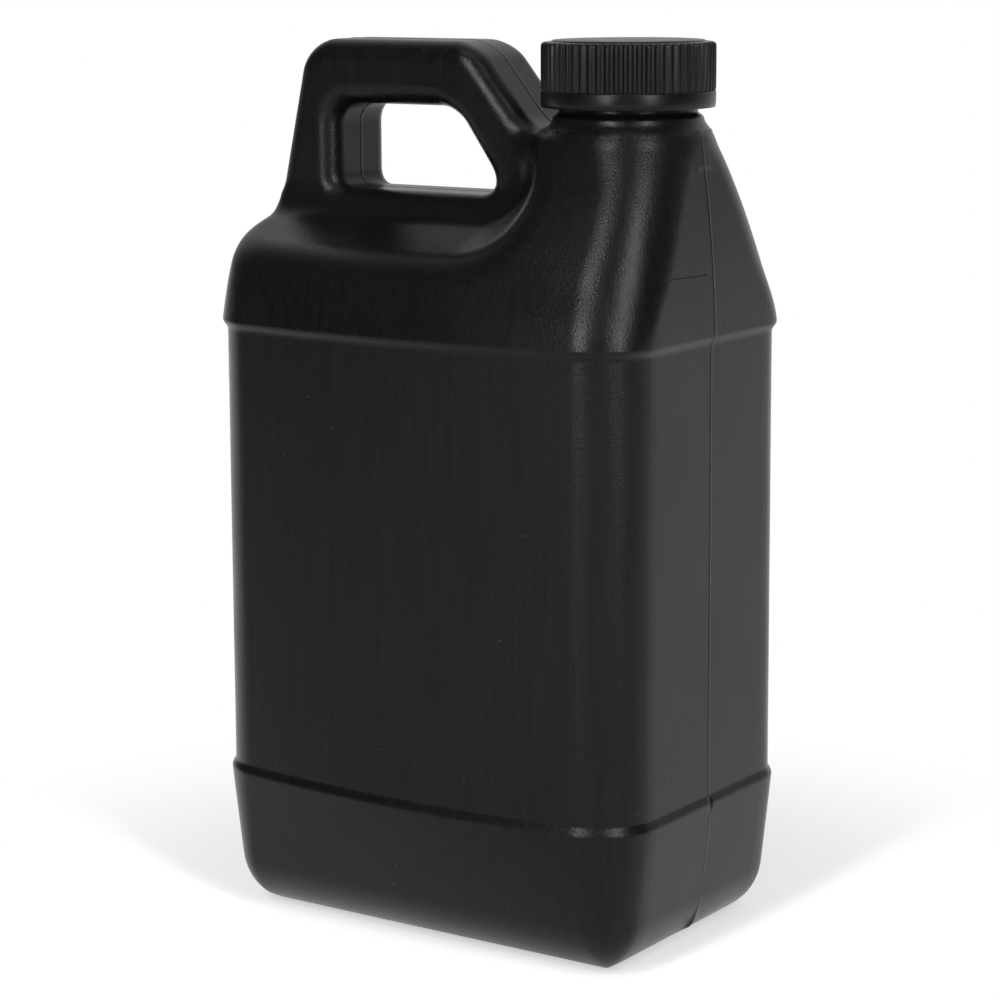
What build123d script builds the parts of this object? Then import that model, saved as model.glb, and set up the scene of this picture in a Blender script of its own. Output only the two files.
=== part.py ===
from build123d import *
import os

# F-style jug with a two-piece push-and-turn closure. Millimetres, +Z up.
# X runs along the width with the neck on the +X side, Y is the depth with the front face at -Y,
# and the origin is the centre of the base.

# Overall body sizes
body_width = 130.0
body_depth = 94.8
front_bow = 6.0  # how far the middle of the front face stands ahead of its two ends
side_bow = 2.4
least_bow = 0.3  # what is left of either bow at the neck's foot
corner_radius = 15.0
wall = 1.0  # blown wall of the body and the handle

# Heights of the body's stages, from the floor up
base_height = 38.9  # up to the lower crest, where the wall stands proud
step_height = 2.8  # each slope between a crest and the recessed panel
panel_height = 114.9
shoulder_height = 49.2
foot_curve_height = 5.8  # the curve between the shoulder and the neck
neck_height = 17.7  # from the shoulder's end to the neck's rim

# Recessed label panel and the tapering base
panel_inset = 1.0
base_taper_width = 4.4  # how much narrower each side is at the floor
base_taper_depth = 7.0
base_bow = 2.5
heel_radius = 11.0
recess_depth = 1.5  # hollow under the base, so that the jug stands on a rim
recess_margin = 14.0
recess_corner = 9.0
recess_run = 0.58  # how far the recess's side comes in for each millimetre of its depth

# Neck and its thread
neck_offset = 25.7  # from the jug's right side in to the neck's axis
foot_flare = 3.55  # how far the curve at the neck's foot spreads beyond the neck
foot_flat = 1.8  # straight stretch between the two corners of the shoulder's last section
neck_radius = 17.35
neck_wall = 1.95
thread_lead = 25.4 / 6
thread_turns = 1.1
thread_depth = 1.3
thread_root = 2.4  # width of the ridge at the neck
thread_crest = 1.1
thread_drop = 6.4  # from the rim down to the lower end of the ridge
thread_bite = 0.15  # how far a ridge is rooted in its wall
crest_gap = 0.5  # from the cap's thread in to the neck
flare_start = (-0.35, 1)  # direction of the neck's curve at the shoulder, outwards and up
flare_end = (-0.05, 1)

# Shoulder: how far each size has gone, at each stage, from the body's crest to the neck's foot.
# Height, left side, right side, depth at the left corners, depth at the right, bow, corner radius
shoulder_stages = [
    (0.317, 0.08, 0.15, 0.10, 0.30, 0.18, 0.34),
    (0.622, 0.36, 0.44, 0.40, 0.66, 0.35, 0.68),
    (0.846, 0.80, 0.75, 0.64, 0.89, 0.77, 1.0),
]
foot_draw = 5.0  # how far the left side has come in at the neck's foot

# Handle: a hollow loop on the middle plane
handle_rise = 22.4  # its top above the neck's foot
handle_thickness = 25.6
handle_edge = 5.6
handle_left_draw = 11.3  # from the jug's left side in to the loop's top corner
handle_neck_reach = 41.9  # from the neck's axis to the loop's other top corner
handle_left_lean = 0.2  # sideways run for each millimetre of height
handle_right_lean = 0.835
handle_left_corner = 9.5
handle_right_corner = 8.0
root_depth = 11.0  # how deep the loop's legs run into the shoulder, below the scoop's floor
grip_height = 16.7  # top bar, from the finger hole up
leg_width = 9.7
slanted_leg_step = 3.8  # the finger hole's top corner lies this far in from the loop's
finger_lean = 0.711
finger_corner = 4.5

# Scoop that leaves room for the hand, in front of and behind the handle
scoop_depth = 21.6  # its floor below the neck's foot
saddle_height = 5.0  # the finger hole's sill above that floor
scoop_neck_reach = 20.8  # from the neck's axis to the scoop's end wall
scoop_corner = 12.0
scoop_fall = 0.34  # drop of the floor for each millimetre towards the face
scoop_spread = 0.784  # run of the end wall towards the neck's side
scoop_corner_growth = 0.703
scoop_overrun = 2.4  # the cut runs this far past the face
scoop_headroom = 9.0

# Closure: outer shell that turns freely until it is pressed down on the threaded inner cap
fit_gap = 0.3
liner_thickness = 0.8
inner_cap_wall = 0.9
inner_cap_top_wall = 1.0
press_travel = 1.0
shell_wall = 0.95  # at the foot of the ribs
shell_top_wall = 1.1
shell_height = 16.1
shell_disc = 0.4  # the top's middle stands up by this much
shell_disc_margin = 2.75
band_height = 4.1
rib_count = 60
rib_depth = 0.75
rib_width = 1.25
shell_lip = 1.0  # height of the inward lip that holds the inner cap
lip_hold = 0.55  # how far the lip reaches in under the inner cap
lip_gap = 0.35
lug_count = 8
lug_length = 8.0
lug_width = 2.2
lug_middle = 14.0
lug_gap = 0.2  # what is left between lug and wall when the shell is pressed
inner_cap_chamfer = 0.6

# Heights that follow
panel_low = base_height + step_height
panel_high = panel_low + panel_height
shoulder_crest = panel_high + step_height
neck_foot = shoulder_crest + shoulder_height
neck_start = neck_foot + foot_curve_height
neck_top = neck_foot + neck_height
thread_low = neck_top - thread_drop
handle_top = neck_foot + handle_rise
scoop_floor = neck_foot - scoop_depth
scoop_above = handle_top + scoop_headroom
handle_root = scoop_floor - root_depth
finger_low = scoop_floor + saddle_height
finger_high = handle_top - grip_height
liner_top = neck_top + liner_thickness
inner_cap_top = liner_top + inner_cap_top_wall
shell_under = inner_cap_top + 2 * press_travel
shell_top = shell_under + shell_top_wall
shell_bottom = shell_top - shell_height
inner_bottom = shell_bottom + shell_lip + lip_gap
lug_height = press_travel - lug_gap

# Places and radii that follow
neck_x = body_width / 2 - neck_offset
handle_top_left = handle_left_draw - body_width / 2
handle_top_right = neck_x - handle_neck_reach
finger_left = handle_top_left + leg_width
finger_right = handle_top_right - slanted_leg_step
scoop_wall = neck_x - scoop_neck_reach
scoop_reach = (body_depth - handle_thickness) / 2 + scoop_overrun
foot_radius = neck_radius + foot_flare
foot_half = foot_radius - 2 * least_bow
foot_corner = foot_half - foot_flat / 2
neck_bore = neck_radius - neck_wall
thread_radius = neck_radius + thread_depth
inner_bore = thread_radius + fit_gap
inner_thread_radius = neck_radius + crest_gap
inner_radius = inner_bore + inner_cap_wall
shell_bore = inner_radius + fit_gap
shell_radius = shell_bore + shell_wall + rib_depth

neck_axis = Axis((neck_x, 0, 0), (0, 0, 1))
neck_plane = Plane((neck_x, 0, 0))


def plan_outline(height, left, right, half_left, half_right, bow, swell, radius):
    """One horizontal section of the body: four slightly bowed sides with round corners."""
    middle_x = (left + right) / 2
    middle_y = (half_left + half_right) / 2 + bow
    with BuildSketch(Plane.XY.offset(height)) as section:
        with BuildLine():
            ThreePointArc((left, -half_left), (middle_x, -middle_y), (right, -half_right))
            ThreePointArc((right, -half_right), (right + swell, 0), (right, half_right))
            ThreePointArc((right, half_right), (middle_x, middle_y), (left, half_left))
            ThreePointArc((left, half_left), (left - swell, 0), (left, -half_left))
        make_face()
        fillet(section.vertices(), radius)
    return section.sketch


def body_plan(height, inset):
    """The section of the body at its crests, or drawn in by an inset on every side."""
    half_width = body_width / 2 - side_bow - inset
    half_depth = body_depth / 2 - front_bow - inset
    radius = corner_radius - inset
    return plan_outline(height, -half_width, half_width, half_depth, half_depth, front_bow, side_bow, radius)


def floor_plan(inset):
    """The smaller section at the floor, before the heel is rounded."""
    half_width = body_width / 2 - side_bow - base_taper_width - inset
    half_depth = body_depth / 2 - front_bow - base_taper_depth - inset
    radius = corner_radius - inset
    return plan_outline(inset, -half_width, half_width, half_depth, half_depth, base_bow, side_bow, radius)


def part_way(start, end, share):
    """The value that lies a share of the way from one size to another."""
    return start + (end - start) * share


def shoulder_plan(stage, inset):
    """One section of the shoulder, with each of its sizes its own share of the way to the neck's foot."""
    rise, left_share, right_share, left_depth, right_depth, bow_share, corner_share = stage
    crest_half = body_depth / 2 - front_bow
    swell = part_way(side_bow, least_bow, rise)
    left = part_way(-body_width / 2, foot_draw - body_width / 2, left_share)
    right = part_way(body_width / 2, neck_x + foot_radius, right_share)
    return plan_outline(
        part_way(shoulder_crest, neck_foot, rise),
        left + swell + inset,
        right - swell - inset,
        part_way(crest_half, foot_half, left_depth) - inset,
        part_way(crest_half, foot_half, right_depth) - inset,
        part_way(front_bow, least_bow, bow_share),
        swell,
        part_way(corner_radius, foot_corner, corner_share) - inset,
    )


def scoop_outline(distance, floor, side, corner):
    """The scoop's edge as seen from the front, on a plane this far ahead of the middle."""
    with BuildSketch(Plane((0, -distance, 0), (1, 0, 0), (0, -1, 0))) as outline:
        with BuildLine():
            Polyline(
                (-body_width, floor), (side, floor),
                (side, scoop_above), (-body_width, scoop_above), close=True,
            )
        make_face()
        fillet(outline.vertices().group_by(Axis.Y)[0].sort_by(Axis.X)[-1], corner)
    return outline.sketch


def scoop(side, inset):
    """The space cut away on one side of the handle: -1 in front, 1 behind."""
    face = handle_thickness / 2 - inset
    outer_floor = scoop_floor - scoop_fall * scoop_reach - inset
    outer_wall = scoop_wall + scoop_spread * scoop_reach + inset
    inner = scoop_outline(face, scoop_floor - inset, scoop_wall + inset, scoop_corner)
    outer = scoop_outline(
        face + scoop_reach, outer_floor, outer_wall, scoop_corner + scoop_corner_growth * scoop_reach
    )
    with BuildPart() as cut:
        loft(sections=[inner, outer], ruled=True)
        if side > 0:
            mirror(about=Plane.XZ, mode=Mode.REPLACE)
    return cut.part


def hand_gap(inset):
    """The shoulder's middle is cut away too, and the handle's loop takes its place."""
    face = handle_thickness / 2 - inset
    with BuildPart() as cut:
        extrude(scoop_outline(face, scoop_floor - inset, scoop_wall + inset, scoop_corner), amount=-2 * face)
    return cut.part


def finger_hole(inset):
    """The finger hole as seen from the front, or its larger outline inside the plastic."""
    slanted_foot = finger_right + (finger_high - finger_low) * finger_lean
    with BuildSketch(Plane.XZ) as hole:
        with BuildLine():
            Polyline(
                (finger_left, finger_low), (finger_left, finger_high),
                (finger_right, finger_high), (slanted_foot, finger_low), close=True,
            )
        make_face()
        fillet(hole.vertices(), finger_corner)
        if inset:
            offset(amount=inset)
    return hole.sketch


def handle_form(inset):
    """The handle's loop, flat at front and back with round edges."""
    top = handle_top - inset
    left_top = handle_top_left + inset
    right_top = handle_top_right - inset
    left_foot = left_top - (top - scoop_floor) * handle_left_lean
    right_foot = right_top + (top - scoop_floor) * handle_right_lean
    with BuildPart() as loop:
        with BuildSketch(Plane.XZ) as side_view:
            with BuildLine():
                Polyline(
                    (left_foot, handle_root), (left_foot, scoop_floor), (left_top, top),
                    (right_top, top), (right_foot, scoop_floor), (right_foot, handle_root), close=True,
                )
            make_face()
            corners = side_view.vertices().group_by(Axis.Y)[-1].sort_by(Axis.X)
            fillet(corners[0], handle_left_corner - inset)
            fillet(corners[1], handle_right_corner - inset)
            add(finger_hole(inset), mode=Mode.SUBTRACT)
        extrude(amount=handle_thickness / 2 - inset, both=True)
        rim = loop.edges().filter_by(Plane.XZ)
        fillet(rim, handle_edge - inset)
    return loop.part


def body_form(inset):
    """The jug's form up to the foot of the neck: the outside, or the hollow at an inset."""
    with BuildPart() as form:
        loft(sections=[floor_plan(inset), body_plan(base_height, inset)])
        fillet(form.faces().sort_by(Axis.Z)[0].edges(), heel_radius - inset)
        panel = body_plan(panel_low, inset + panel_inset)
        loft(sections=[body_plan(base_height, inset), panel])
        extrude(panel, amount=panel_height)
        loft(sections=[body_plan(panel_high, inset + panel_inset), body_plan(shoulder_crest, inset)])
        at_neck = [1.0] * len(shoulder_stages[0])
        stages = [shoulder_plan(stage, inset) for stage in shoulder_stages + [at_neck]]
        loft(sections=[body_plan(shoulder_crest, inset)] + stages)
    return form.part


def neck_form(neck, foot, top):
    """The neck and the curve at its foot, as a solid of revolution that starts inside the shoulder."""
    start = neck_foot - wall
    with BuildPart() as turned:
        with BuildSketch(Plane.XZ):
            with BuildLine():
                side = Line((neck_x + foot, start), (neck_x + foot, neck_foot))
                flare = Spline(side @ 1, (neck_x + neck, neck_start), tangents=(flare_start, flare_end))
                Polyline(flare @ 1, (neck_x + neck, top), (neck_x, top), (neck_x, start), side @ 0)
            make_face()
        revolve(axis=neck_axis)
    return turned.part


def jug_form(inset):
    """The whole outside of the jug, or the whole hollow at an inset."""
    with BuildPart() as form:
        add(body_form(inset))
        add(scoop(-1, inset), mode=Mode.SUBTRACT)
        add(scoop(1, inset), mode=Mode.SUBTRACT)
        add(hand_gap(inset), mode=Mode.SUBTRACT)
        add(handle_form(inset))
    return form.part


def recess_outline(height, margin):
    """The edge of the hollow under the base, drawn in from the floor's edge by a margin."""
    half_width = body_width / 2 - side_bow - base_taper_width - margin
    half_depth = body_depth / 2 - front_bow - base_taper_depth - margin
    return plan_outline(
        height, -half_width, half_width, half_depth, half_depth, least_bow, least_bow, recess_corner
    )


def base_recess(depth, margin):
    """The shallow hollow under the base, inside the rim that the jug stands on."""
    with BuildPart() as hollow:
        loft(sections=[recess_outline(0, margin), recess_outline(depth, margin + depth * recess_run)], ruled=True)
    return hollow.part


def thread_ridge(root_radius, crest_radius, low):
    """A helical ridge on the neck's axis, from a root radius in or out to its crest."""
    with BuildPart() as ridge:
        with BuildLine() as path:
            climb = thread_lead * thread_turns
            Helix(pitch=thread_lead, height=climb, radius=root_radius, center=(neck_x, 0, low))
        with BuildSketch(Plane(path.line @ 0, (1, 0, 0), path.line % 0)):
            with BuildLine():
                reach = crest_radius - root_radius
                Polyline(
                    (0, -thread_root / 2), (reach, -thread_crest / 2),
                    (reach, thread_crest / 2), (0, thread_root / 2), close=True,
                )
            make_face()
        sweep(is_frenet=True)
    return ridge.part


# Jug body: one blown piece with its handle, neck and thread
with BuildPart() as jug_body:
    add(jug_form(0))
    add(neck_form(neck_radius, foot_radius, neck_top))
    add(jug_form(wall), mode=Mode.SUBTRACT)
    add(neck_form(neck_bore, foot_radius - wall, neck_top + wall), mode=Mode.SUBTRACT)
    add(base_recess(recess_depth + wall, recess_margin - wall))
    add(base_recess(recess_depth, recess_margin), mode=Mode.SUBTRACT)
    add(thread_ridge(neck_radius - thread_bite, thread_radius, thread_low))
jug_body.part.label = "jug_body"

# Inner cap: a plain threaded cup with drive lugs on its top
with BuildPart() as inner_cap:
    with BuildSketch(neck_plane.offset(inner_bottom)):
        Circle(inner_radius)
    extrude(amount=inner_cap_top - inner_bottom)
    chamfer(inner_cap.edges().group_by(Axis.Z)[-1], inner_cap_chamfer)
    with BuildSketch(neck_plane.offset(inner_bottom)):
        Circle(inner_bore)
    extrude(amount=liner_top - inner_bottom, mode=Mode.SUBTRACT)
    with BuildSketch(neck_plane.offset(inner_cap_top)):
        with PolarLocations(lug_middle, lug_count):
            Rectangle(lug_length, lug_width)
    extrude(amount=lug_height)
    add(thread_ridge(inner_bore + thread_bite, inner_thread_radius, thread_low - thread_lead / 2))
inner_cap.part.label = "inner_cap"

# Liner: a foam disc between the neck's rim and the inner cap
with BuildPart() as liner:
    with BuildSketch(neck_plane.offset(neck_top)):
        Circle(inner_bore - fit_gap)
    extrude(amount=liner_thickness)
liner.part.label = "liner"

# Outer shell: a smooth band, ribs above it, a raised disc, a holding lip and the matching lugs inside
with BuildPart() as outer_shell:
    with BuildSketch(neck_plane.offset(shell_bottom)):
        Circle(shell_radius)
    extrude(amount=band_height)
    with BuildSketch(neck_plane.offset(shell_bottom + band_height)):
        Circle(shell_radius - rib_depth)
        with PolarLocations(shell_radius - rib_depth, rib_count):
            Rectangle(2 * rib_depth, rib_width)
    extrude(amount=shell_height - band_height)
    with BuildSketch(neck_plane.offset(shell_top)):
        Circle(shell_radius - shell_disc_margin)
    extrude(amount=shell_disc)
    with BuildSketch(neck_plane.offset(shell_bottom)):
        Circle(inner_radius - lip_hold)
    extrude(amount=shell_lip, mode=Mode.SUBTRACT)
    with BuildSketch(neck_plane.offset(shell_bottom + shell_lip)):
        Circle(shell_bore)
    extrude(amount=shell_under - shell_bottom - shell_lip, mode=Mode.SUBTRACT)
    with BuildSketch(neck_plane.offset(shell_under)):
        with PolarLocations(lug_middle, lug_count, start_angle=180 / lug_count):
            Rectangle(lug_length, lug_width)
    extrude(amount=-lug_height)
outer_shell.part.label = "outer_shell"

os.makedirs("parts", exist_ok=True)
for piece in (jug_body, inner_cap, liner, outer_shell):
    export_step(piece.part, f"parts/{piece.part.label}.step")
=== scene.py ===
import math

import bmesh
import bpy
import numpy as np
from mathutils import Matrix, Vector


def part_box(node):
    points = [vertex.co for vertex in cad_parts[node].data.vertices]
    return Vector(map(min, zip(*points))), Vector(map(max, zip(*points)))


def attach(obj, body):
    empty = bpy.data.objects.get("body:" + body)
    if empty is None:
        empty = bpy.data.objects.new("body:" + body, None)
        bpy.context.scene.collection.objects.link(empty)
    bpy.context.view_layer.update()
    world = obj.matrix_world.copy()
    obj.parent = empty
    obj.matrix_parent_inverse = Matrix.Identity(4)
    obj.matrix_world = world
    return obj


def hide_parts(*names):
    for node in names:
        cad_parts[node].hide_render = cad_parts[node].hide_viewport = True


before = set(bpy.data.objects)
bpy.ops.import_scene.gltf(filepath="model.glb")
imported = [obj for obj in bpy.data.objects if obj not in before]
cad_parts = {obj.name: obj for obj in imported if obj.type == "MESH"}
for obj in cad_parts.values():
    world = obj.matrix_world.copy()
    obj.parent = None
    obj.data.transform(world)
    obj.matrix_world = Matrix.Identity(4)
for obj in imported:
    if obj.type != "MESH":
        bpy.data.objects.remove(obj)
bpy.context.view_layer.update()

# A black blow-moulded jug with a ribbed push-and-turn closure. The jug's form is worked out in millimetres,
# as a field that is below zero inside the plastic's outer skin, and its meshes are made in metres.
MM = 0.001

# Sizes from the frame
jug_low, jug_high = (np.array(corner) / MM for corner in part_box("jug_body"))
shell_low, shell_high = (np.array(corner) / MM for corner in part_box("outer_shell"))
NECK_X = (shell_low[0] + shell_high[0]) / 2
SEAM_RISE = 0.12  # how far the mould's parting line stands up
SEAM_WIDTH = 0.3
SEAM_FADE = (4.0, 60.0)  # heights between which it sinks into the base
HALF_WIDTH = (jug_high[0] - jug_low[0]) / 2 - SEAM_RISE
HALF_DEPTH = (jug_high[1] - jug_low[1]) / 2
HANDLE_TOP = jug_high[2] - SEAM_RISE

# Body
WALL = 1.0
BASE_CREST = 38.9
PANEL_LOW = 41.5
PANEL_HIGH = 156.8
SHOULDER_CREST = 159.4
PANEL_INSET_LOW = 0.87
PANEL_INSET_HIGH = 1.1
BASE_DRAW_WIDTH = 4.4
BASE_DRAW_DEPTH = 9.6
FRONT_BOW = 0.00142  # how fast the front falls back from its middle, for each millimetre squared
SIDE_FLAT = 26.0  # half the width of the side's flat strip
SIDE_TURN = 0.03  # slope with which the side falls back past that strip
SIDE_BOW = 0.007  # and how fast it bends away there, for each millimetre squared
HEEL_RADIUS = 14.3
CORNER_GROWTH = 4.0  # how much larger the corners get from the floor up to the lower crest
RECESS_DEPTH = 1.5  # of the hollow in the base
RECESS_MARGIN = 16.0  # from the hollow's rim out to the base's side
RECESS_SLOPE = 4.0  # distance over which it deepens
NOTCH_DEPTH = 0.45
NOTCH_WIDTH = 0.5
NOTCH_RISE = 2.5  # how far below the lower crest it starts
NOTCH_REACH = 5.0  # how far in from the two sides

# Shoulder, from the crest up to the neck's foot
SHOULDER_HEIGHTS = [SHOULDER_CREST, 175.0, 190.0, 201.0, 208.6]
# How far the sides have drawn in at those heights, to the left, to the right, and in front and behind
SHOULDER_LEFT_DRAW = [0.0, 0.4, 1.8, 4.0, 5.0]
SHOULDER_RIGHT_DRAW = [0.0, 0.7, 2.05, 3.5, 4.8]
SHOULDER_DEPTH_DRAW = [0.0, 5.3, 13.2, 20.5, 26.6]
SHOULDER_SKEW = [0.0, -0.033, -0.045, -0.044, 0.0]  # the neck's side is shallower than the handle's
SHOULDER_BOW = [FRONT_BOW, 0.00128, 0.00104, 0.00043, 0.0]
SHOULDER_CORNER_LEFT = [10.4, 14.0, 16.5, 18.8, 20.6]
SHOULDER_CORNER_RIGHT = [12.0, 14.9, 14.9, 16.7, 20.6]
SHOULDER_TOP = 209.0
SIDE_START = 0.3  # share of its slope with which the shoulder leaves the crest at the sides
DEPTH_START = 0.45  # and in front and behind
CROWN_EDGE = 2.0  # radius round the shoulder's top

# Handle's loop, seen from the front
HANDLE_HALF = 12.8  # half its thickness
HANDLE_EDGE = 5.6  # radius of its edges
TOP_LEFT = -54.0
TOP_RIGHT = -1.3
LEFT_LEAN = 0.225  # how far the side slants out for each millimetre down
RIGHT_LEAN = 0.835
LEFT_CORNER = 8.4
RIGHT_CORNER = 5.0
HOLE_LEFT = -44.0
HOLE_TOP = 214.3
HOLE_FLOOR = 192.0
HOLE_RIGHT = -6.4  # at the top
HOLE_LEAN = 0.711
HOLE_CORNER_TOP = 5.5
HOLE_CORNER_FLOOR = 8.3
HOLE_CORNER_SIDE = 4.0
LOOP_ROOT = 176.0
ROOT_TOP = 190.0
ROOT_DRAW = 0.5  # how fast the left leg draws in below that height
LOOP_BLEND = 7.0

# Scoop in front of and behind the handle
SCOOP_FLOOR = 187.0
SCOOP_WALL = 18.5
SCOOP_CORNER = 12.0
SCOOP_FALL = 0.34  # this and the next two are for each millimetre out from the handle's side
SCOOP_SPREAD = 0.784
SCOOP_CORNER_GROWTH = 0.703
CREST_BLEND = 6.0

# Neck above the shoulder: radius and height, up the outside, over the rim and down the bore
NECK_FOOT_RADIUS = 20.6
NECK_FOOT_SPREAD = 0.7  # how much wider the foot gets below its plane
NECK_FOOT_RUN = 1.5  # depth over which it does
NECK_FOOT_DEPTH = 8.0  # how far the foot reaches down into the shoulder
NECK_BLEND = 1.6
NECK_PLANE = 209.5
NECK_MARGIN = 1.0  # how far round the foot the body's points are taken to be at the neck
NECK_REACH = 3.0  # and how far below the plane
NECK_OUTSIDE = [
    (20.3, 209.9), (19.95, 210.35), (19.6, 210.8), (19.3, 211.25), (19.08, 211.7), (18.95, 212.1),
    (18.85, 212.5), (18.65, 212.8), (18.2, 213.2), (17.7, 213.5), (17.42, 213.9), (17.35, 214.5),
    (17.35, 225.5), (17.2, 226.0), (16.8, 226.28), (16.4, 226.3), (15.9, 226.28), (15.5, 226.0),
    (15.4, 225.6),
]
NECK_BORE = [(15.4, 216.0), (15.7, 214.0), (17.0, 212.0), (19.0, 210.4)]
THREAD_LEAD = 25.4 / 6
THREAD_TURNS = 1.1
THREAD_LOW = 219.9
THREAD_ROOT_RADIUS = 17.25
THREAD_CREST_RADIUS = 18.6
THREAD_HALF_ROOT = 1.2
THREAD_HALF_CREST = 0.55
THREAD_STEPS = 96
THREAD_RUN_OUT = 0.06  # share of the ridge over which each end sinks into the neck

# Pinch-off: the tail that the mould leaves at the foot of the parting line
TAB_X = 58.4
TAB_Z = 8.6
TAB_HALF = (1.3, 0.55, 3.0)
TAB_BLEND = 1.5

# Closure's outer shell
SHELL_RADIUS = (shell_high[0] - shell_low[0]) / 2
SHELL_HEIGHT = shell_high[2] - shell_low[2]
RIB_DEPTH = 0.75
RIB_ROOT = SHELL_RADIUS - RIB_DEPTH
RIB_COUNT = 60
RIB_SHARE = 0.66  # of the pitch that a rib takes up
RIB_FLATNESS = 2.4  # 2 gives a round rib, and more a flatter one
RIB_STEPS = 10
RIB_JOIN = 0.004  # how near two copies' points lie that become one
EDGE_LEAST = 0.001  # a shorter edge is closed up
SHELL_SHARP = math.radians(50)  # faces that meet at more than this keep a hard edge
BAND_HEIGHT = 4.1
SHELL_SHOULDER = 16.1  # where the ribs end and the top's edge begins
SHELL_CEILING = 15.0  # underside of its top

# Its section: radius, height above its lower edge, and 1 where the ribs stand out. It runs from the lip's
# foot out, up, over the top to the axis, and back down the inside.
SHELL_PROFILE = [
    (19.3, 0.2, 0), (19.45, 0, 0), (SHELL_RADIUS - 0.3, 0, 0), (SHELL_RADIUS - 0.15, 0.1, 0),
    (SHELL_RADIUS - 0.01, 1.2, 0), (SHELL_RADIUS, 1.45, 0), (SHELL_RADIUS, BAND_HEIGHT - 0.35, 0),
    (SHELL_RADIUS - 0.1, BAND_HEIGHT - 0.08, 0), (SHELL_RADIUS - 0.3, BAND_HEIGHT, 0),
    (RIB_ROOT, BAND_HEIGHT + 0.02, 0), (RIB_ROOT, BAND_HEIGHT + 0.05, 0.75),
    (RIB_ROOT, BAND_HEIGHT + 0.5, 0.97), (RIB_ROOT, 8.0, 1), (RIB_ROOT, 12.0, 1), (RIB_ROOT, 15.1, 0.97),
    (RIB_ROOT - 0.05, 15.6, 0.85), (RIB_ROOT - 0.25, 15.95, 0.5), (RIB_ROOT - 0.7, 16.08, 0.1),
    (RIB_ROOT - 1.3, SHELL_SHOULDER, 0), (19.35, SHELL_SHOULDER, 0), (19.2, SHELL_SHOULDER + 0.06, 0),
    (19.05, SHELL_SHOULDER + 0.3, 0), (18.85, SHELL_HEIGHT, 0), (9.0, SHELL_HEIGHT, 0), (0, SHELL_HEIGHT, 0),
    (0, SHELL_CEILING, 0), (12.0, SHELL_CEILING, 0), (19.7, SHELL_CEILING, 0), (20.1, SHELL_CEILING - 0.3, 0),
    (20.15, 1.3, 0), (20.0, 1.0, 0), (19.4, 0.95, 0),
]

# Grids in which the two skins are found: for x, y and z, (start, end, step) stretches that follow each other,
# finest along the parting line and the two crests
GRID_TOP = HANDLE_TOP + 2
OUTER_GRID = (
    [(-67, 67, 1.15)],
    [(-49, -0.9, 1.15), (-0.9, 0.9, 0.225), (0.9, 49, 1.15)],
    [
        (-1, 16, 1.1), (16, 37, 2.6), (37, 43, 0.6), (43, 155, 4.0), (155, 161, 0.6),
        (161, NECK_PLANE - 0.5, 1.15), (NECK_PLANE - 0.5, NECK_PLANE + 0.5, 1),
        (NECK_PLANE + 0.5, GRID_TOP, 1.15),
    ],
)
INNER_GRID = (
    [(-66, 66, 3.1)],
    [(-48.6, 48.6, 3.1)],
    [
        (-0.5, 16, 2.4), (16, 155, 6), (155, NECK_PLANE - 1.2, 3),
        (NECK_PLANE - 1.2, NECK_PLANE + 1.2, 2.4), (NECK_PLANE + 1.2, GRID_TOP, 3),
    ],
)
SKIN_STEPS = 6  # times that each point is moved nearer to the skin
SKIN_NEAR = 0.05  # how near the outer skin a point lies that takes its shading from the field
RING_MARGIN = 0.2  # how far below the neck's plane that shading ends

# From here on lengths are in metres. Scratch on the shoulder's right side:
SCRATCH_HEIGHT = 0.17468  # on the middle plane
SCRATCH_SLOPE = -0.0225
SCRATCH_HALF_WIDTH = 0.0003
SCRATCH_MIDDLE = -0.013
SCRATCH_HALF_LENGTH = 0.01
SCRATCH_FACE = 0.06  # only on the side beyond this

# Camera, as the photograph's edges give it
CAMERA_PLACE = (0.43512, -0.63689, 0.25637)
CAMERA_HEADING = math.radians(34.34)
CAMERA_TILT = math.radians(10.65)
CAMERA_ROLL = math.radians(-0.28)
CAMERA_NEAR = 0.01
FOCAL_PIXELS = 2985.68
IMAGE_PIXELS = 1000
SENSOR = 36.0  # millimetres

# Studio: a white floor and backdrop, dim in front of the object, and three soft lamps
BACKDROP_WAY = (-0.16, 0.92, 0.35)  # from the object to the backdrop's middle
BACKDROP_EDGE = (0.25, 0.95)  # cosines from that way, between which the backdrop fades in
BACKDROP_LEVEL = 0.72
STUDIO_LEVEL = 0.07
FILL_LEVEL = 0.1
FLOOR_SIZE = 12
FLOOR_GLOW = 0.5
FLOOR_FRONT = (-0.1, 0.0)  # places along that way, between which the floor brightens in reflections
FLOOR_FADE = (0.08, 0.2)  # distances over which the floor turns to plain white
LAMP_AIM = (0, 0, 0.12)
LAMPS = {  # azimuth round from +X and elevation in degrees, distance, width, height, and strength
    "left_strip": (-86, 26, 1.6, 0.16, 1.4, 21),
    "right_strip": (-28, 26, 1.6, 0.16, 1.4, 18),
    "overhead": (-60, 80, 1.5, 0.8, 0.8, 1.0),
}


def smooth_curve(z, heights, values, start=1.0):
    """A smooth curve through points; start scales its first slope."""
    heights = np.asarray(heights, float)
    values = np.asarray(values, float)
    slopes = np.gradient(values, heights)
    slopes[0] *= start
    span_number = np.clip(np.searchsorted(heights, z) - 1, 0, len(heights) - 2)
    low, high = values[span_number], values[span_number + 1]
    span = heights[span_number + 1] - heights[span_number]
    t = np.clip((z - heights[span_number]) / span, 0, 1)
    bend = slopes[span_number] * (1 - t) - slopes[span_number + 1] * t
    own_rise = (high - low) * t * t * (3 - 2 * t)
    return low + own_rise + span * t * (1 - t) * bend


def smooth_step(value, low, high):
    """0 below low, 1 above high, and a smooth rise between."""
    t = np.clip((value - low) / (high - low), 0, 1)
    return t * t * (3 - 2 * t)


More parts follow.
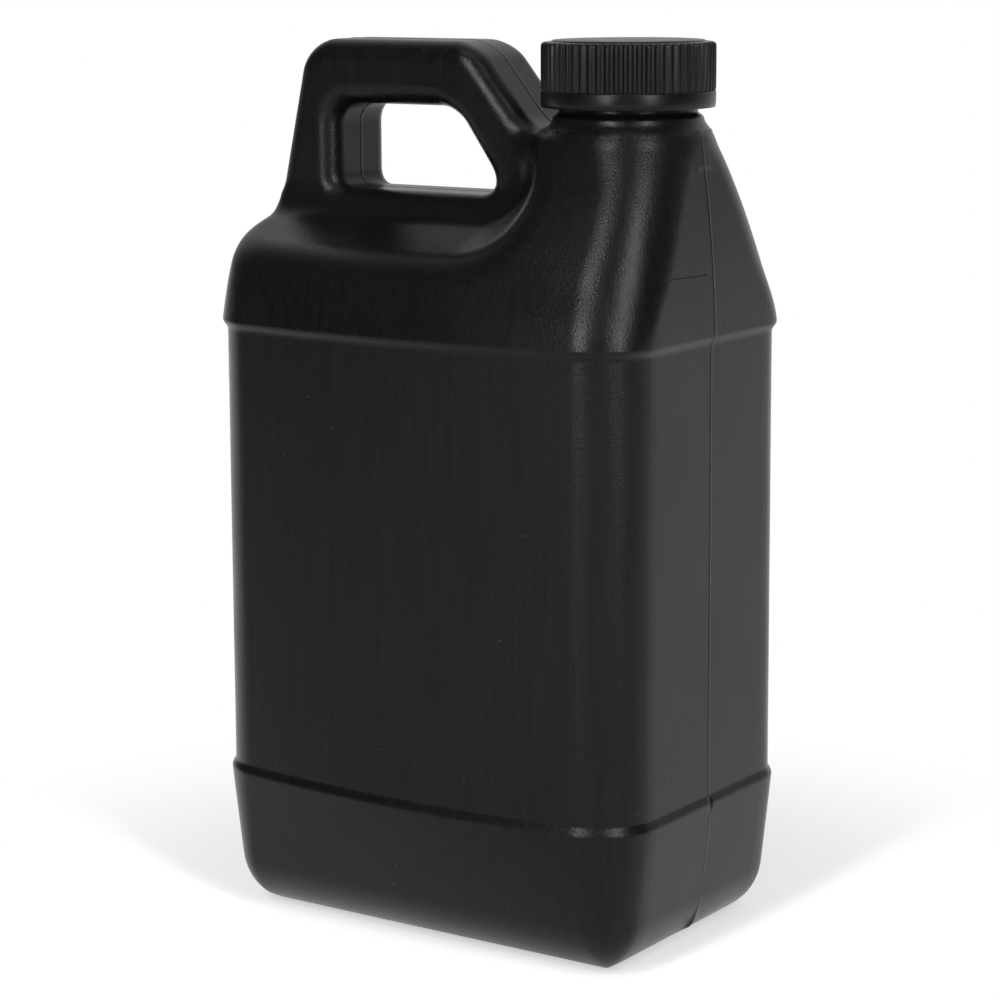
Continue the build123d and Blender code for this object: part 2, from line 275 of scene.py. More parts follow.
def round_max(a, b, radius):
    """The larger of two distances, with the edge where they meet rounded to a radius."""
    over_a = np.maximum(a + radius, 0)
    over_b = np.maximum(b + radius, 0)
    return np.minimum(np.maximum(a, b) + radius, 0) + np.hypot(over_a, over_b) - radius


def soft_max(a, b, width):
    """The larger of two distances, blended where they are nearly equal."""
    share = np.maximum(width - np.abs(a - b), 0) / width
    return np.maximum(a, b) + share * share * width / 4


def soft_min(a, b, width):
    """The smaller of two distances, blended where they are nearly equal."""
    return -soft_max(-a, -b, width)


def panel_inset(z):
    """How far the label panel lies back at a height, with the steps at its two ends."""
    amount = np.interp(z, [PANEL_LOW, PANEL_HIGH], [PANEL_INSET_LOW, PANEL_INSET_HIGH])
    return amount * smooth_step(z, BASE_CREST, PANEL_LOW) * (1 - smooth_step(z, PANEL_HIGH, SHOULDER_CREST))


def body_field(x, y, z):
    """The body and shoulder: four bowed sides with round corners, closed below by the round heel."""
    base = np.clip((BASE_CREST - z) / BASE_CREST, 0, 1)
    inset = panel_inset(z) + BASE_DRAW_WIDTH * base
    left = HALF_WIDTH - inset - smooth_curve(z, SHOULDER_HEIGHTS, SHOULDER_LEFT_DRAW, SIDE_START)
    right = HALF_WIDTH - inset - smooth_curve(z, SHOULDER_HEIGHTS, SHOULDER_RIGHT_DRAW, SIDE_START)
    depth = HALF_DEPTH - panel_inset(z) - BASE_DRAW_DEPTH * base
    depth = depth - smooth_curve(z, SHOULDER_HEIGHTS, SHOULDER_DEPTH_DRAW, DEPTH_START)
    skew = smooth_curve(z, SHOULDER_HEIGHTS, SHOULDER_SKEW, 0)
    bow = smooth_curve(z, SHOULDER_HEIGHTS, SHOULDER_BOW) * (1 - base)
    corner_left = smooth_curve(z, SHOULDER_HEIGHTS, SHOULDER_CORNER_LEFT)
    corner_right = smooth_curve(z, SHOULDER_HEIGHTS, SHOULDER_CORNER_RIGHT)
    corner = corner_left + (corner_right - corner_left) * smooth_step(x, -HALF_WIDTH / 2, HALF_WIDTH / 2)
    corner = corner - CORNER_GROWTH * base
    across = x - (right - left) / 2
    past_flat = np.maximum(np.abs(y) - SIDE_FLAT, 0)
    turn = SIDE_TURN * np.sqrt(past_flat * past_flat + 1) - SIDE_TURN
    side = np.abs(across) - (right + left) / 2 + turn + SIDE_BOW * past_flat**2
    front = np.abs(y) - depth - skew * across + bow * across**2
    walls = round_max(side, front, corner)
    rim_x = HALF_WIDTH - BASE_DRAW_WIDTH - RECESS_MARGIN
    rim_y = HALF_DEPTH - BASE_DRAW_DEPTH - RECESS_MARGIN
    under = round_max(np.abs(x) - rim_x, np.abs(y) - rim_y, RECESS_MARGIN / 2)
    floor = RECESS_DEPTH * smooth_step(-under, 0, RECESS_SLOPE) - z
    return round_max(walls, floor, HEEL_RADIUS)


def scoop_field(x, y, z):
    """The space cut away for the hand on both sides of the handle, and through the middle."""
    out = np.abs(y) - HANDLE_HALF
    out = (out + np.sqrt(out * out + 1)) / 2
    floor = SCOOP_FLOOR - SCOOP_FALL * out - z
    wall = x - SCOOP_WALL - SCOOP_SPREAD * out
    return round_max(floor, wall, SCOOP_CORNER + SCOOP_CORNER_GROWTH * out)


def handle_field(x, y, z):
    """The handle's loop: a flat bar with round edges round the finger hole."""
    drop = HANDLE_TOP - np.maximum(z, SCOOP_FLOOR)
    left_line = (TOP_LEFT - LEFT_LEAN * drop - x) / math.hypot(1, LEFT_LEAN)
    left_line = left_line + ROOT_DRAW * np.maximum(ROOT_TOP - z, 0)
    right_line = (x - TOP_RIGHT - RIGHT_LEAN * drop) / math.hypot(1, RIGHT_LEAN)
    outline = round_max(z - HANDLE_TOP, left_line, LEFT_CORNER)
    outline = round_max(outline, right_line, RIGHT_CORNER)
    slant = (x - HOLE_RIGHT - HOLE_LEAN * (HOLE_TOP - z)) / math.hypot(1, HOLE_LEAN)
    upper = round_max(z - HOLE_TOP, HOLE_LEFT - x, HOLE_CORNER_TOP)
    lower = round_max(slant, HOLE_FLOOR - z, HOLE_CORNER_FLOOR)
    hole = round_max(upper, lower, HOLE_CORNER_SIDE)
    loop = np.maximum(np.maximum(outline, -hole), LOOP_ROOT - z)
    return round_max(loop, np.abs(y) - HANDLE_HALF, HANDLE_EDGE)


def seam_rise(x, y, z):
    """The parting line that the mould's two halves leave on the middle plane, and its notch in the lower
    crest."""
    across = np.abs(y)
    ridge = SEAM_RISE * np.exp(-((across / SEAM_WIDTH) ** 2)) * smooth_step(z, *SEAM_FADE)
    started = smooth_step(z, BASE_CREST - NOTCH_RISE, BASE_CREST)
    near_crest = started * (1 - smooth_step(z, BASE_CREST, PANEL_LOW))
    near_side = smooth_step(np.abs(x), HALF_WIDTH - NOTCH_REACH, HALF_WIDTH - NOTCH_REACH + 1)
    return ridge - NOTCH_DEPTH * np.exp(-((across / NOTCH_WIDTH) ** 2)) * near_crest * near_side


def tab_field(x, y, z):
    """The pinch-off tail at the foot of the right side."""
    half_x, half_y, half_z = TAB_HALF
    reach = np.sqrt(((x - TAB_X) / half_x) ** 2 + (y / half_y) ** 2 + ((z - TAB_Z) / half_z) ** 2)
    return (reach - 1) * half_y


def jug_field(x, y, z):
    """Below zero inside the jug's outer skin, up to the neck's foot."""
    crown = round_max(body_field(x, y, z), z - SHOULDER_TOP, CROWN_EDGE)
    shell = soft_max(crown, -scoop_field(x, y, z), CREST_BLEND)
    shell = soft_min(shell, handle_field(x, y, z), LOOP_BLEND)
    shell = soft_min(shell, tab_field(x, y, z), TAB_BLEND) - seam_rise(x, y, z)
    neck = np.hypot(x - NECK_X, y) - NECK_FOOT_RADIUS
    neck = neck - NECK_FOOT_SPREAD * (1 - np.exp(-np.maximum(NECK_PLANE - z, 0) / NECK_FOOT_RUN))
    neck = np.maximum(neck, NECK_PLANE - NECK_FOOT_DEPTH - z)
    return soft_min(shell, neck, NECK_BLEND)


def hollow_field(x, y, z):
    """Below zero inside the jug's hollow."""
    return jug_field(x, y, z) + WALL


def grid_lines(*stretches):
    """Grid lines along one axis, from (start, end, step) stretches that follow each other."""
    lines = [np.array([stretches[0][0]])]
    for start, end, step in stretches:
        count = max(1, round((end - start) / step))
        lines.append(np.linspace(start, end, count + 1)[1:])
    return np.concatenate(lines)


def field_slope(field, points, reach=0.02):
    """The field's gradient at each point."""
    slope = np.empty_like(points)
    for axis in range(3):
        step = np.zeros(3)
        step[axis] = reach
        ahead = field(*(points + step).T)
        behind = field(*(points - step).T)
        slope[:, axis] = (ahead - behind) / (2 * reach)
    return slope


def skin_mesh(field, lines):
    """Points and four-sided faces where the field is zero, with one point in each grid cell that the skin
    crosses, and each point's layer of cells."""
    xs, ys, zs = lines
    values = field(xs[:, None, None], ys[None, :, None], zs[None, None, :])
    cells = tuple(size - 1 for size in values.shape)
    total = np.zeros((math.prod(cells), 3))
    count = np.zeros(math.prod(cells))
    quads = []
    for axis in range(3):
        size = values.shape[axis]
        low = values.take(range(size - 1), axis)
        high = values.take(range(1, size), axis)
        side_a, side_b = (axis + 1) % 3, (axis + 2) % 3
        crossed = np.argwhere((low < 0) != (high < 0))
        within = np.ones(len(crossed), bool)
        for side in (side_a, side_b):
            within &= (crossed[:, side] > 0) & (crossed[:, side] < cells[side])
        crossed = crossed[within]
        low_value = low[tuple(crossed.T)]
        high_value = high[tuple(crossed.T)]
        point = np.stack([lines[i][crossed[:, i]] for i in range(3)], 1)
        length = lines[axis][crossed[:, axis] + 1] - lines[axis][crossed[:, axis]]
        point[:, axis] += length * low_value / (low_value - high_value)
        corners = []
        for step_a, step_b in ((-1, -1), (0, -1), (0, 0), (-1, 0)):
            cell = crossed.copy()
            cell[:, side_a] += step_a
            cell[:, side_b] += step_b
            number = np.ravel_multi_index(tuple(cell.T), cells)
            np.add.at(total, number, point)
            np.add.at(count, number, 1)
            corners.append(number)
        quad = np.stack(corners, 1)
        backward = low_value >= 0
        quad[backward] = quad[backward][:, ::-1]
        quads.append(quad)
    quads = np.concatenate(quads)
    used, faces = np.unique(quads, return_inverse=True)
    points = total[used] / count[used, None]
    layer = used % cells[2]
    for _ in range(SKIN_STEPS):
        slope = field_slope(field, points)
        points = points - slope * (field(*points.T) / (slope * slope).sum(1))[:, None]
    return points, faces.reshape(-1, 4), layer


def open_at_neck(points, faces, layer, lines):
    """Drops the faces above the neck's plane, where the turned neck takes over, and levels the ring left
    there."""
    ring_layer = np.searchsorted(lines[2], NECK_PLANE) - 1
    at_neck = np.hypot(points[:, 0] - NECK_X, points[:, 1]) < NECK_FOOT_RADIUS + NECK_MARGIN
    at_neck &= points[:, 2] > NECK_PLANE - NECK_REACH
    above = at_neck & (layer > ring_layer)
    faces = faces[~above[faces].any(1)]
    ring = at_neck & (layer == ring_layer)
    points[ring, 2] = NECK_PLANE
    return points, faces


def add_skin(form, points, faces, inward=False):
    """Adds a skin to a bmesh and returns the edges of its open ring."""
    used, faces = np.unique(faces, return_inverse=True)
    faces = faces.reshape(-1, 4)
    verts = [form.verts.new(point * MM) for point in points[used]]
    made = []
    for corners in (faces[:, ::-1] if inward else faces):
        made.append(form.faces.new([verts[i] for i in corners]))
    return [edge for face in made for edge in face.edges if edge.is_boundary]


def turned_rows(form, ring, profile):
    """Carries a ring of edges along a profile of radius and height, round the neck's axis."""
    for radius, height in profile:
        made = bmesh.ops.extrude_edge_only(form, edges=ring)["geom"]
        ring = [item for item in made if isinstance(item, bmesh.types.BMEdge)]
        for vert in {vert for edge in ring for vert in edge.verts}:
            x = vert.co.x / MM - NECK_X
            y = vert.co.y / MM
            scale = radius / math.hypot(x, y)
            vert.co = ((NECK_X + x * scale) * MM, y * scale * MM, height * MM)
    return ring


def add_thread(form):
    """The helical ridge on the neck, with both ends sunk into it."""
    sections = []
    for number in range(THREAD_STEPS + 1):
        share = number / THREAD_STEPS
        angle = share * THREAD_TURNS * math.tau
        height = THREAD_LOW + THREAD_LEAD * THREAD_TURNS * share
        fade = min(1.0, share / THREAD_RUN_OUT, (1 - share) / THREAD_RUN_OUT)
        crest = THREAD_ROOT_RADIUS + (THREAD_CREST_RADIUS - THREAD_ROOT_RADIUS) * math.sin(fade * math.pi / 2)
        outline = (
            (THREAD_ROOT_RADIUS, -THREAD_HALF_ROOT), (crest, -THREAD_HALF_CREST),
            (crest, THREAD_HALF_CREST), (THREAD_ROOT_RADIUS, THREAD_HALF_ROOT),
        )
        sections.append([
            form.verts.new((
                (NECK_X + radius * math.cos(angle)) * MM, radius * math.sin(angle) * MM, (height + rise) * MM,
            ))
            for radius, rise in outline
        ])
    for behind, ahead in zip(sections, sections[1:]):
        for i in range(4):
            j = (i + 1) % 4
            form.faces.new((behind[i], ahead[i], ahead[j], behind[j]))
    form.faces.new(sections[0])
    form.faces.new(sections[-1][::-1])


def new_piece(name, mesh, material):
    """An object at the origin for a finished mesh."""
    mesh.name = name
    mesh.materials.clear()
    mesh.materials.append(material)
    mesh.polygons.foreach_set("use_smooth", [True] * len(mesh.polygons))
    piece = bpy.data.objects.new(name, mesh)
    bpy.context.scene.collection.objects.link(piece)
    return piece


def make_jug(material):
    """The blown jug: outer skin, neck and inner skin in one closed mesh."""
    outer_lines = [grid_lines(*stretches) for stretches in OUTER_GRID]
    inner_lines = [grid_lines(*stretches) for stretches in INNER_GRID]
    form = bmesh.new()
    points, faces, layer = skin_mesh(jug_field, outer_lines)
    points, faces = open_at_neck(points, faces, layer, outer_lines)
    outer_ring = add_skin(form, points, faces)
    points, faces, layer = skin_mesh(hollow_field, inner_lines)
    points, faces = open_at_neck(points, faces, layer, inner_lines)
    inner_ring = add_skin(form, points, faces, inward=True)
    bore_ring = turned_rows(form, outer_ring, NECK_OUTSIDE + NECK_BORE)
    bmesh.ops.bridge_loops(form, edges=bore_ring + inner_ring)
    bmesh.ops.recalc_face_normals(form, faces=form.faces)
    add_thread(form)
    mesh = bpy.data.meshes.new("jug")
    form.to_mesh(mesh)
    form.free()
    jug = new_piece("blown_jug", mesh, material)
    smooth_by_field(mesh)
    return jug


def smooth_by_field(mesh):
    """Takes the outer skin's shading from the field itself, which is smoother than its small faces."""
    count = len(mesh.vertices)
    points = np.empty(count * 3)
    mesh.vertices.foreach_get("co", points)
    points = points.reshape(-1, 3) / MM
    normals = np.empty(count * 3)
    mesh.vertex_normals.foreach_get("vector", normals)
    normals = normals.reshape(-1, 3)
    below_neck = points[:, 2] < NECK_PLANE - RING_MARGIN
    off_neck = points[:, 0] < NECK_X - NECK_FOOT_RADIUS - NECK_MARGIN
    on_skin = (np.abs(jug_field(*points.T)) < SKIN_NEAR) & (below_neck | off_neck)
    slope = field_slope(jug_field, points[on_skin])
    normals[on_skin] = slope / np.linalg.norm(slope, axis=1)[:, None]
    mesh.normals_split_custom_set_from_vertices(normals)


def shell_sector(material):
    """One rib's share of the shell, round the closure's own axis."""
    pitch = math.tau / RIB_COUNT
    form = bmesh.new()
    columns = []
    for step in range(RIB_STEPS + 1):
        share = step / RIB_STEPS
        rib = max(0.0, 1 - (abs(2 * share - 1) / RIB_SHARE) ** RIB_FLATNESS)
        angle = (share - 0.5) * pitch
        column = []
        for radius, height, stand_out in SHELL_PROFILE:
            reach = (radius + RIB_DEPTH * rib * stand_out) * MM
            column.append(form.verts.new((reach * math.cos(angle), reach * math.sin(angle), height * MM)))
        columns.append(column)
    rows = len(SHELL_PROFILE)
    for behind, ahead in zip(columns, columns[1:]):
        for i in range(rows):
            j = (i + 1) % rows
            form.faces.new((behind[i], ahead[i], ahead[j], behind[j]))
    mesh = bpy.data.meshes.new("shell_sector")
    form.to_mesh(mesh)
    form.free()
    return new_piece("shell_sector", mesh, material)


def cleared_tree(owner):
    """The node tree of a material or world, emptied."""
    owner.use_nodes = True
    owner.node_tree.nodes.clear()
    return owner.node_tree


def add_node(tree, kind, inputs=None, **settings):
    """Adds a node with its settings, and sets or links its inputs. A node given as an input stands for its
    first output in use."""
    made = tree.nodes.new(kind)
    for name, value in settings.items():
        setattr(made, name, value)
    for name, value in (inputs or {}).items():
        if isinstance(value, bpy.types.Node):
            value = next(socket for socket in value.outputs if socket.enabled)
        if isinstance(value, bpy.types.NodeSocket):
            tree.links.new(value, made.inputs[name])
        else:
            made.inputs[name].default_value = value
    return made


def ring_tree():
    """A node tree that repeats its mesh round an upright axis and joins the copies."""
    tree = bpy.data.node_groups.new("repeat_round_axis", "GeometryNodeTree")
    inputs = (
        ("Geometry", "Geometry"), ("Count", "Int"), ("Axis foot", "Vector"), ("Join distance", "Float"),
        ("Material", "Material"),
    )
    for name, kind in inputs:
        tree.interface.new_socket(name, in_out="INPUT", socket_type="NodeSocket" + kind)
    tree.interface.new_socket("Geometry", in_out="OUTPUT", socket_type="NodeSocketGeometry")
    given = add_node(tree, "NodeGroupInput").outputs
    points = add_node(tree, "GeometryNodePoints", {"Count": given["Count"], "Position": given["Axis foot"]})
    number = add_node(tree, "GeometryNodeInputIndex")
    step = add_node(tree, "ShaderNodeMath", {0: math.tau, 1: given["Count"]}, operation="DIVIDE")
    angle = add_node(tree, "ShaderNodeMath", {0: number, 1: step}, operation="MULTIPLY")
    turn = add_node(tree, "ShaderNodeCombineXYZ", {"Z": angle})
    copies = add_node(tree, "GeometryNodeInstanceOnPoints", {
        "Points": points, "Instance": given["Geometry"], "Rotation": turn,
    })
    real = add_node(tree, "GeometryNodeRealizeInstances", {"Geometry": copies})
    joined = add_node(tree, "GeometryNodeMergeByDistance", {
        "Geometry": real, "Distance": given["Join distance"],
    })
    coated = add_node(tree, "GeometryNodeSetMaterial", {"Geometry": joined, "Material": given["Material"]})
    add_node(tree, "NodeGroupOutput", {"Geometry": coated})
    return tree


def repeat_round(part, tree, name, count, foot, join, material):
    """The part's copies round an axis as one plain mesh, in place of the part."""
    modifier = part.modifiers.new("repeat", "NODES")
    modifier.node_group = tree
    given = {"Count": count, "Axis foot": foot, "Join distance": join, "Material": material}
    for item in tree.interface.items_tree:
        if item.in_out == "INPUT" and item.name in given:
            modifier[item.identifier] = given[item.name]
    part.update_tag()
    graph = bpy.context.evaluated_depsgraph_get()
    mesh = bpy.data.meshes.new_from_object(part.evaluated_get(graph))
    part.modifiers.clear()
    bpy.data.objects.remove(part)
    return new_piece(name, mesh, material)


def make_shell(material):
    """The closure's ribbed outer shell."""
    foot = (NECK_X * MM, 0, shell_low[2] * MM)
    sector = shell_sector(material)
    shell = repeat_round(sector, ring_tree(), "ribbed_shell", RIB_COUNT, foot, RIB_JOIN * MM, material)
    form = bmesh.new()
    form.from_mesh(shell.data)
    bmesh.ops.dissolve_degenerate(form, edges=form.edges, dist=EDGE_LEAST * MM)
    bmesh.ops.recalc_face_normals(form, faces=form.faces)
    form.to_mesh(shell.data)
    form.free()
    shell.data.set_sharp_from_angle(angle=SHELL_SHARP)
    return shell


def colour(code):
    """A colour written as sRGB hex, in the linear values that nodes take."""
    channels = [int(code[i:i + 2], 16) / 255 for i in (1, 3, 5)]
    return tuple(c / 12.92 if c <= 0.04045 else ((c + 0.055) / 1.055) ** 2.4 for c in channels) + (1.0,)


def new_material(name):
    """An empty material, its node tree, and the places on the object that its patterns follow."""
    material = bpy.data.materials.new(name)
    tree = cleared_tree(material)
    return material, tree, add_node(tree, "ShaderNodeTexCoord").outputs["Object"]


def scratch_mask(tree, place):
    """1 along the faint level scratch on the shoulder's right side, and 0 elsewhere."""
    axes = add_node(tree, "ShaderNodeSeparateXYZ", {0: place}).outputs
    line = add_node(tree, "ShaderNodeMath", {
        0: axes["Y"], 1: SCRATCH_SLOPE, 2: SCRATCH_HEIGHT,
    }, operation="MULTIPLY_ADD")
    above = add_node(tree, "ShaderNodeMath", {0: axes["Z"], 1: line}, operation="SUBTRACT")
    gap = add_node(tree, "ShaderNodeMath", {0: above}, operation="ABSOLUTE")
    near = add_node(tree, "ShaderNodeMapRange", {
        "Value": gap, "From Min": 0.0, "From Max": SCRATCH_HALF_WIDTH, "To Min": 1.0, "To Max": 0.0,
    })
    along = add_node(tree, "ShaderNodeMath", {
        0: axes["Y"], 1: SCRATCH_MIDDLE, 2: SCRATCH_HALF_LENGTH,
    }, operation="COMPARE")
    outside = add_node(tree, "ShaderNodeMath", {0: axes["X"], 1: SCRATCH_FACE}, operation="GREATER_THAN")
    there = add_node(tree, "ShaderNodeMath", {0: along, 1: outside}, operation="MULTIPLY")
    return add_node(tree, "ShaderNodeMath", {0: near, 1: there}, operation="MULTIPLY")


def blown_polyethylene():
    """Black high-density polyethylene, blown in a sand-blasted mould: satin, with a fine leathery grain,
    faint upright streaks from the die that the soft tube came through, and a few pale specks of dust."""
    material, tree, place = new_material("black_blown_polyethylene")

    # Streaks 1.1 mm wide and about 30 mm long, a little greyer than the rest
    drawn_out = add_node(tree, "ShaderNodeMapping", {
        "Vector": place, "Scale": (1 / (1.1 * MM), 1 / (1.1 * MM), 1 / (30 * MM)),
    })
    streaks = add_node(tree, "ShaderNodeTexNoise", {"Vector": drawn_out, "Scale": 1.0, "Detail": 2.0})
    streak = add_node(tree, "ShaderNodeMapRange", {
        "Value": streaks, "From Min": 0.35, "From Max": 0.65, "To Min": 0.0, "To Max": 1.0,
    })
    base = add_node(tree, "ShaderNodeMix", {
        "Factor": streak, "A": colour("#0c0d0d"), "B": colour("#121313"),
    }, data_type="RGBA")

    # Dust: specks under half a millimetre across, about 9 mm apart
    cells = add_node(tree, "ShaderNodeTexVoronoi", {"Vector": place, "Scale": 1 / (9 * MM)})
    speck = add_node(tree, "ShaderNodeMapRange", {
        "Value": cells, "From Min": 0.028, "From Max": 0.018, "To Min": 0.0, "To Max": 1.0,
    })
    dusted = add_node(tree, "ShaderNodeMix", {
        "Factor": speck, "A": base, "B": colour("#4a4a48"),
    }, data_type="RGBA")

    # Satin that varies over about 30 mm, with the dull scratch
    cloud = add_node(tree, "ShaderNodeTexNoise", {"Vector": place, "Scale": 1 / (30 * MM), "Detail": 2.0})
    rough = add_node(tree, "ShaderNodeMapRange", {
        "Value": cloud, "From Min": 0.3, "From Max": 0.7, "To Min": 0.24, "To Max": 0.32,
    })
    scraped = add_node(tree, "ShaderNodeMix", {"Factor": scratch_mask(tree, place), "A": rough, "B": 0.8})

    # Grain from the blasted mould. The real grit is finer, and is drawn at 0.4 to 0.8 mm so that it shows.
    grain = add_node(tree, "ShaderNodeTexNoise", {"Vector": place, "Scale": 1 / (0.8 * MM), "Detail": 3.0})
    wrinkled = add_node(tree, "ShaderNodeMapping", {
        "Vector": place, "Scale": (1 / (0.5 * MM), 1 / (0.5 * MM), 1 / (0.4 * MM)),
    })
    leather = add_node(tree, "ShaderNodeTexNoise", {"Vector": wrinkled, "Scale": 1.0, "Detail": 2.0})
    skin = add_node(tree, "ShaderNodeBump", {"Height": grain, "Strength": 0.5, "Distance": 0.03 * MM})
    for height, strength, depth in ((streaks, 0.4, 0.04), (leather, 0.8, 0.09)):
        skin = add_node(tree, "ShaderNodeBump", {
            "Height": height, "Normal": skin, "Strength": strength, "Distance": depth * MM,
        })

    shader = add_node(tree, "ShaderNodeBsdfPrincipled", {
        "Base Color": dusted, "Roughness": scraped, "Normal": skin, "IOR": 1.5, "Specular IOR Level": 0.25,
    })
    add_node(tree, "ShaderNodeOutputMaterial", {"Surface": shader})
    return material


def moulded_polypropylene():
    """Black polypropylene from a polished mould: smoother than the jug, with faint flow marks 4 mm apart. Its
    grain is finer than the half millimetre it is drawn at, so that it shows."""
    material, tree, place = new_material("black_moulded_polypropylene")
    flow = add_node(tree, "ShaderNodeTexNoise", {"Vector": place, "Scale": 1 / (4 * MM), "Detail": 3.0})
    grain = add_node(tree, "ShaderNodeTexNoise", {"Vector": place, "Scale": 1 / (0.5 * MM), "Detail": 2.0})
    base = add_node(tree, "ShaderNodeMix", {
        "Factor": flow, "A": colour("#0c0c0c"), "B": colour("#111111"),
    }, data_type="RGBA")
    rough = add_node(tree, "ShaderNodeMapRange", {
        "Value": flow, "From Min": 0.3, "From Max": 0.7, "To Min": 0.28, "To Max": 0.36,
    })
    skin = add_node(tree, "ShaderNodeBump", {"Height": grain, "Strength": 0.4, "Distance": 0.01 * MM})
    shader = add_node(tree, "ShaderNodeBsdfPrincipled", {
        "Base Color": base, "Roughness": rough, "Normal": skin, "IOR": 1.49, "Specular IOR Level": 0.25,
    })
    add_node(tree, "ShaderNodeOutputMaterial", {"Surface": shader})
    return material


def foamed_polyethylene():
    """White foamed polyethylene, the liner: matt, with closed cells. They are drawn at 0.6 mm, coarser than
    they are, so that they show."""
    material, tree, place = new_material("white_foamed_polyethylene")
    cells = add_node(tree, "ShaderNodeTexVoronoi", {"Vector": place, "Scale": 1 / (0.6 * MM)})
    base = add_node(tree, "ShaderNodeMix", {
        "Factor": cells, "A": colour("#e6e5df"), "B": colour("#d2d1ca"),
    }, data_type="RGBA")
    skin = add_node(tree, "ShaderNodeBump", {"Height": cells, "Strength": 0.4, "Distance": 0.06 * MM})
    shader = add_node(tree, "ShaderNodeBsdfPrincipled", {
        "Base Color": base, "Roughness": 0.75, "Normal": skin,
    })
    add_node(tree, "ShaderNodeOutputMaterial", {"Surface": shader})
    return material


def seen_share(tree):
    """1 for what the camera sees directly or through a mirror or glass, and 0 for other light."""
    path = add_node(tree, "ShaderNodeLightPath").outputs
    seen = add_node(tree, "ShaderNodeMath", {
        0: path["Is Camera Ray"], 1: path["Is Glossy Ray"],
    }, operation="MAXIMUM")
    return add_node(tree, "ShaderNodeMath", {0: seen, 1: path["Is Transmission Ray"]}, operation="MAXIMUM")


def behind_share(tree, way, edge, levels):
    """How far a way or place lies towards the backdrop, carried smoothly from the edge's two values to two
    levels."""
    along = add_node(tree, "ShaderNodeVectorMath", {0: way, 1: BACKDROP_WAY}, operation="DOT_PRODUCT")
    return add_node(tree, "ShaderNodeMapRange", {
        "Value": along, "From Min": edge[0], "From Max": edge[1], "To Min": levels[0], "To Max": levels[1],
    }, interpolation_type="SMOOTHSTEP")


def make_camera():
    """The camera that the photograph's edges give."""
    data = bpy.data.cameras.new("camera")
    data.sensor_width = SENSOR
    data.lens = FOCAL_PIXELS * SENSOR / IMAGE_PIXELS
    data.clip_start = CAMERA_NEAR
    camera = bpy.data.objects.new("camera", data)
    heading, tilt, roll = CAMERA_HEADING, CAMERA_TILT, CAMERA_ROLL
    level = np.array([math.cos(heading), math.sin(heading), 0])
    forward = np.array([-math.sin(heading), math.cos(heading), 0])
    ahead = forward * math.cos(tilt) - np.array([0, 0, math.sin(tilt)])
    above = np.cross(level, ahead)
    right = level * math.cos(roll) + above * math.sin(roll)
    up = above * math.cos(roll) - level * math.sin(roll)
    turned = Matrix([right, up, -ahead]).transposed().to_4x4()
    camera.matrix_world = Matrix.Translation(CAMERA_PLACE) @ turned
    bpy.context.scene.collection.objects.link(camera)
    bpy.context.scene.camera = camera


def make_lamp(name, azimuth, elevation, distance, width, height, strength):
    """A white softbox that faces the object from an azimuth and an elevation, both in degrees."""
    data = bpy.data.lights.new(name, "AREA")
    data.shape = "RECTANGLE"
    data.size = width
    data.size_y = height
    data.energy = strength * width * height * math.pi
    lamp = bpy.data.objects.new(name, data)
    turn, lift = math.radians(azimuth), math.radians(elevation)
    away = np.array([math.cos(turn) * math.cos(lift), math.sin(turn) * math.cos(lift), math.sin(lift)])
    side = np.array([-math.sin(turn), math.cos(turn), 0])
    upward = np.cross(away, side)
    middle = np.array(LAMP_AIM) + away * distance
    lamp.matrix_world = Matrix.Translation(middle) @ Matrix([side, upward, away]).transposed().to_4x4()
    bpy.context.scene.collection.objects.link(lamp)


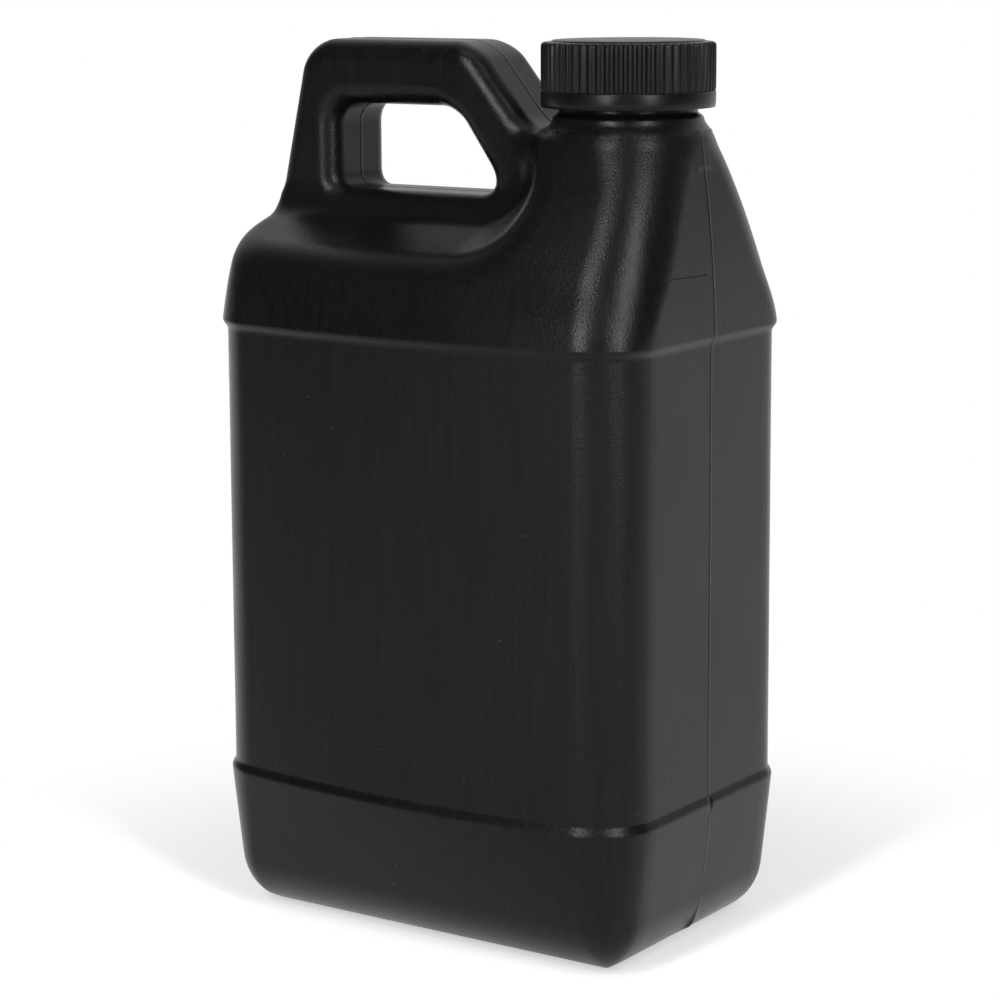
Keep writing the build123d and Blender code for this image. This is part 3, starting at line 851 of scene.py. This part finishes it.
def make_floor():
    """A pale paper floor that keeps the object's shadow and turns to plain white further out. In reflections
    it is dim in front of the object, like the studio there."""
    bpy.ops.mesh.primitive_plane_add(size=FLOOR_SIZE)
    floor = bpy.context.object
    floor.name = "floor"
    material, tree, place = new_material("white_paper_floor")
    away = add_node(tree, "ShaderNodeVectorMath", {0: place}, operation="LENGTH")
    far = add_node(tree, "ShaderNodeMapRange", {
        "Value": away, "From Min": FLOOR_FADE[0], "From Max": FLOOR_FADE[1],
    }, interpolation_type="SMOOTHSTEP")
    beside = behind_share(tree, place, FLOOR_FRONT, (0.0, 1.0))
    direct = add_node(tree, "ShaderNodeLightPath").outputs["Is Camera Ray"]
    bright = add_node(tree, "ShaderNodeMath", {0: beside, 1: direct}, operation="MAXIMUM")
    whiter = add_node(tree, "ShaderNodeMath", {0: far, 1: bright}, operation="MULTIPLY")
    strength = add_node(tree, "ShaderNodeMath", {0: bright, 1: FLOOR_GLOW}, operation="MULTIPLY")
    paper = add_node(tree, "ShaderNodeBsdfDiffuse", {"Color": colour("#f4f4f4")})
    glow = add_node(tree, "ShaderNodeEmission", {"Color": colour("#ffffff"), "Strength": strength})
    lit = add_node(tree, "ShaderNodeAddShader", {0: paper, 1: glow})
    white = add_node(tree, "ShaderNodeEmission", {"Color": colour("#ffffff"), "Strength": 1.0})
    seen = add_node(tree, "ShaderNodeMixShader", {0: whiter, 1: lit, 2: white})
    mixed = add_node(tree, "ShaderNodeMixShader", {0: seen_share(tree), 1: paper, 2: seen})
    add_node(tree, "ShaderNodeOutputMaterial", {"Surface": mixed})
    floor.data.materials.append(material)


def make_world():
    """A studio with a white backdrop. The camera sees plain white everywhere. Reflections see the backdrop
    behind the object and the dim room in front of it, and other light comes from a dim fill."""
    world = bpy.data.worlds.new("studio")
    bpy.context.scene.world = world
    tree = cleared_tree(world)
    way = add_node(tree, "ShaderNodeTexCoord").outputs["Generated"]
    reflected = behind_share(tree, way, BACKDROP_EDGE, (STUDIO_LEVEL, BACKDROP_LEVEL))
    white, room, fill_light = [
        add_node(tree, "ShaderNodeBackground", {"Color": colour("#ffffff"), "Strength": level})
        for level in (1.0, reflected, FILL_LEVEL)
    ]
    path = add_node(tree, "ShaderNodeLightPath").outputs
    mirrored = add_node(tree, "ShaderNodeMath", {
        0: path["Is Glossy Ray"], 1: path["Is Transmission Ray"],
    }, operation="MAXIMUM")
    indirect = add_node(tree, "ShaderNodeMixShader", {0: mirrored, 1: fill_light, 2: room})
    mixed = add_node(tree, "ShaderNodeMixShader", {0: path["Is Camera Ray"], 1: indirect, 2: white})
    add_node(tree, "ShaderNodeOutputWorld", {"Surface": mixed})


blown = blown_polyethylene()
moulded = moulded_polypropylene()
foamed = foamed_polyethylene()

jug = make_jug(blown)
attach(jug, "jug")
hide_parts("jug_body")

shell = make_shell(moulded)
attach(shell, "outer_shell")
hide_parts("outer_shell")

for node_name, finish in (("inner_cap", moulded), ("liner", foamed)):
    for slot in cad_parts[node_name].material_slots:
        slot.material = finish

make_floor()
make_world()
make_camera()
for lamp_name, lamp_place in LAMPS.items():
    make_lamp(lamp_name, *lamp_place)

bpy.context.scene.view_settings.view_transform = "Standard"
